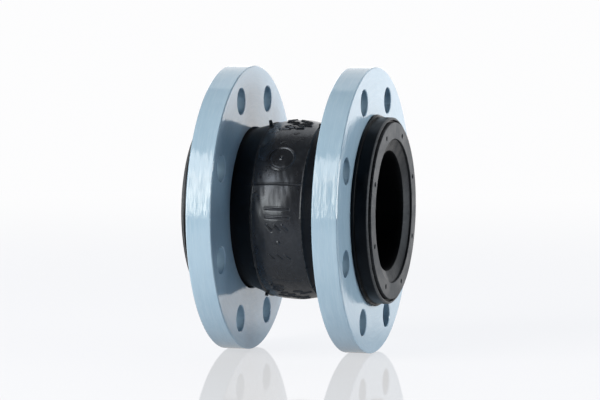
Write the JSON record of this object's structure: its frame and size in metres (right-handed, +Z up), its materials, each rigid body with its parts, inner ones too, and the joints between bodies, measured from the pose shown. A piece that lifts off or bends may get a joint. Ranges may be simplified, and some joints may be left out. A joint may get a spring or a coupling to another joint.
{
  "type": "rubber expansion joint",
  "caption": "Single-arch rubber bellows between two swivelling bolted steel flanges, absorbing pipe movement and vibration.",
  "frame": {"origin": "centre of the arch, on the pipe axis, midway between the two sealing faces", "axes": "+X along the pipe axis towards the right end, +Z up between the two top bolt holes"},
  "size_m": [0.1326, 0.195, 0.195],
  "materials": {
    "painted_steel": "glossy pale steel-blue enamel, brushed on, with a few runs and specks",
    "collar_rubber": "satin black moulded rubber",
    "face_rubber": "dusty grey-black rubber, faint radial streaks",
    "cover_rubber": "satin black moulded rubber, smeared and dusty on the crown",
    "tube_rubber": "smooth black rubber",
    "cushion_rubber": "uncured-look black gum rubber",
    "rubberised_cord": "nylon cord fabric skimmed with black rubber",
    "bead_rubber": "hard black rubber",
    "wrap_tape": "rubberised fabric tape",
    "bead_wire": "bronze-coated spring steel wire"
  },
  "bodies": {
    "left_end": {"left_collar": "collar_rubber", "left_sealing_ring": "face_rubber", "left_bead_filler": "bead_rubber", "left_bead_apex": "bead_rubber", "left_bead_wrap": "wrap_tape", "left_bead_wires": "bead_wire"},
    "left_flange_ring": {"left_flange": "painted_steel"},
    "axial_stage": {"inner_tube": "tube_rubber"},
    "side_stage": {"cord_ply_1": "rubberised_cord", "cord_ply_2": "rubberised_cord"},
    "lift_stage": {"cushion_layer": "cushion_rubber", "cord_ply_3": "rubberised_cord"},
    "pitch_stage": {"cord_ply_4": "rubberised_cord", "outer_cover": "cover_rubber"},
    "right_end": {"right_collar": "collar_rubber", "right_sealing_ring": "face_rubber", "right_bead_filler": "bead_rubber", "right_bead_apex": "bead_rubber", "right_bead_wrap": "wrap_tape", "right_bead_wires": "bead_wire"},
    "right_flange_ring": {"right_flange": "painted_steel"}
  },
  "joints": [
    {"name": "left_flange_swivel", "type": "hinge", "parent": "left_end", "child": "left_flange_ring", "pos_m": [-0.04205, 0, 0], "axis": [1, 0, 0], "continuous": true},
    {"name": "axial_travel", "type": "slide", "parent": "left_end", "child": "axial_stage", "axis": [1, 0, 0], "range_m": [-0.015, 0.008], "stiffness_N_per_m": 60000, "deforming": ["inner_tube", "cord_ply_1", "cord_ply_2", "cushion_layer", "cord_ply_3", "cord_ply_4", "outer_cover"]},
    {"name": "lateral_travel_y", "type": "slide", "parent": "axial_stage", "child": "side_stage", "axis": [0, 1, 0], "range_m": [-0.012, 0.012], "stiffness_N_per_m": 80000, "deforming": ["inner_tube", "cord_ply_1", "cord_ply_2", "cushion_layer", "cord_ply_3", "cord_ply_4", "outer_cover"]},
    {"name": "lateral_travel_z", "type": "slide", "parent": "side_stage", "child": "lift_stage", "axis": [0, 0, 1], "range_m": [-0.012, 0.012], "stiffness_N_per_m": 80000, "deforming": ["inner_tube", "cord_ply_1", "cord_ply_2", "cushion_layer", "cord_ply_3", "cord_ply_4", "outer_cover"]},
    {"name": "angular_travel_y", "type": "hinge", "parent": "lift_stage", "child": "pitch_stage", "pos_m": [0, 0, 0], "axis": [0, 1, 0], "range_deg": [-15, 15], "stiffness_Nm_per_rad": 230, "deforming": ["inner_tube", "cord_ply_1", "cord_ply_2", "cushion_layer", "cord_ply_3", "cord_ply_4", "outer_cover"]},
    {"name": "angular_travel_z", "type": "hinge", "parent": "pitch_stage", "child": "right_end", "pos_m": [0, 0, 0], "axis": [0, 0, 1], "range_deg": [-15, 15], "stiffness_Nm_per_rad": 230, "deforming": ["inner_tube", "cord_ply_1", "cord_ply_2", "cushion_layer", "cord_ply_3", "cord_ply_4", "outer_cover"]},
    {"name": "right_flange_swivel", "type": "hinge", "parent": "right_end", "child": "right_flange_ring", "pos_m": [0.04445, 0, 0], "axis": [1, 0, 0], "continuous": true}
  ]
}
